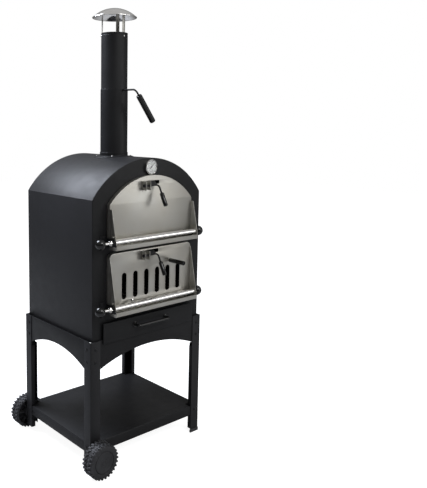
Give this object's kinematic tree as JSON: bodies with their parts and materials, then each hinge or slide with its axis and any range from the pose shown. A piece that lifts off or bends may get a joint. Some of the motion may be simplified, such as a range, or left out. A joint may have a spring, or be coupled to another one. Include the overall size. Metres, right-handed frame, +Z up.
{
  "type": "wood fired pizza oven",
  "caption": "Free-standing wood fired pizza oven: arched steel body on a stand with wheels, stainless fold-down doors, ash drawer, thermometer and a capped chimney with damper.",
  "frame": {"origin": "centre of the model's bounding box in plan, at floor level, under the oven", "axes": "+Z up, +X to the right along the oven's front, -Y towards the cook"},
  "size_m": [0.559, 0.545, 1.575],
  "materials": {
    "black_paint": "matt powder coat",
    "stainless": "satin brushed stainless",
    "polished": "polished stainless",
    "bare_steel": "dark heat-proof steel",
    "black_plastic": "glossy black plastic",
    "wheel_plastic": "moulded plastic",
    "cordierite": "fired clay",
    "dial_white": "printed dial",
    "needle_black": "painted",
    "clear_glass": "clear"
  },
  "bodies": {
    "oven": {"leg_front_left": "black_paint", "leg_back_left": "black_paint", "leg_front_right": "black_paint", "leg_back_right": "black_paint", "apron_front": "black_paint", "apron_back": "black_paint", "apron_left": "black_paint", "apron_right": "black_paint", "bottom_shelf": "black_paint", "stand_bolts": "black_paint", "front_panel": "black_paint", "back_panel": "black_paint", "left_wall": "black_paint", "right_wall": "black_paint", "roof": "black_paint", "floor_plate": "black_paint", "shelf_rails": "black_paint", "drawer_rails": "black_paint", "flue_flange": "black_paint", "lower_pipe": "black_paint", "upper_pipe": "black_paint", "hinge_brackets": "black_paint", "cap_straps": "stainless", "stone_rack": "stainless", "cap_dome": "polished", "hinge_rods": "polished", "rod_nuts": "polished", "chimney_screws": "polished", "thermometer_case": "polished", "wheel_axles": "polished", "fire_grate": "bare_steel", "rod_knobs": "black_plastic", "foot_caps": "wheel_plastic", "pizza_stone": "cordierite", "thermometer_dial": "dial_white", "thermometer_lens": "clear_glass"},
    "upper_door": {"upper_door": "stainless", "upper_rail": "polished", "upper_latch_bracket": "stainless"},
    "lower_door": {"lower_door": "stainless", "lower_rail": "polished", "lower_latch_bracket": "stainless"},
    "upper_latch": {"upper_latch_rod": "black_paint", "upper_latch_grip": "black_plastic"},
    "lower_latch": {"lower_latch_rod": "black_paint", "lower_latch_grip": "black_plastic"},
    "vent": {"vent_slider": "stainless", "vent_knob": "black_plastic", "vent_screw": "polished"},
    "drawer": {"ash_tray": "bare_steel", "drawer_front": "black_paint", "drawer_handle": "black_plastic"},
    "damper": {"damper_plate": "bare_steel", "damper_rod": "black_paint", "damper_grip": "black_plastic"},
    "front_wheel": {"wheel_front": "wheel_plastic", "hub_cap_front": "wheel_plastic"},
    "back_wheel": {"wheel_back": "wheel_plastic", "hub_cap_back": "wheel_plastic"},
    "needle": {"thermometer_needle": "needle_black"}
  },
  "joints": [
    {"name": "upper_door_hinge", "type": "hinge", "parent": "oven", "child": "upper_door", "pos_m": [0.01895, -0.2135, 0.7855], "axis": [1, 0, 0], "range_deg": [0, 85]},
    {"name": "lower_door_hinge", "type": "hinge", "parent": "oven", "child": "lower_door", "pos_m": [0.01895, -0.2135, 0.5645], "axis": [1, 0, 0], "range_deg": [0, 85]},
    {"name": "upper_latch_turn", "type": "hinge", "parent": "upper_door", "child": "upper_latch", "pos_m": [0.01895, -0.2085, 0.962], "axis": [-1, 0, 0], "range_deg": [0, 25]},
    {"name": "lower_latch_turn", "type": "hinge", "parent": "lower_door", "child": "lower_latch", "pos_m": [0.01895, -0.2085, 0.724], "axis": [-1, 0, 0], "range_deg": [0, 25]},
    {"name": "vent_slide", "type": "slide", "parent": "lower_door", "child": "vent", "axis": [-1, 0, 0], "range_m": [0, 0.022]},
    {"name": "drawer_slide", "type": "slide", "parent": "oven", "child": "drawer", "axis": [0, -1, 0], "range_m": [0, 0.2]},
    {"name": "damper_turn", "type": "hinge", "parent": "oven", "child": "damper", "pos_m": [0.01895, 0.0175, 1.286], "axis": [0, -1, 0], "range_deg": [-37, 53]},
    {"name": "front_wheel_spin", "type": "hinge", "parent": "oven", "child": "front_wheel", "pos_m": [-0.21955, -0.2145, 0.06], "axis": [0, 1, 0], "continuous": true},
    {"name": "back_wheel_spin", "type": "hinge", "parent": "oven", "child": "back_wheel", "pos_m": [-0.21955, 0.2495, 0.06], "axis": [0, 1, 0], "continuous": true},
    {"name": "needle_turn", "type": "hinge", "parent": "oven", "child": "needle", "pos_m": [0.01895, -0.1845, 1.022], "axis": [0, 1, 0], "range_deg": [-180, 90], "stiffness_Nm_per_rad": 0.0005}
  ]
}
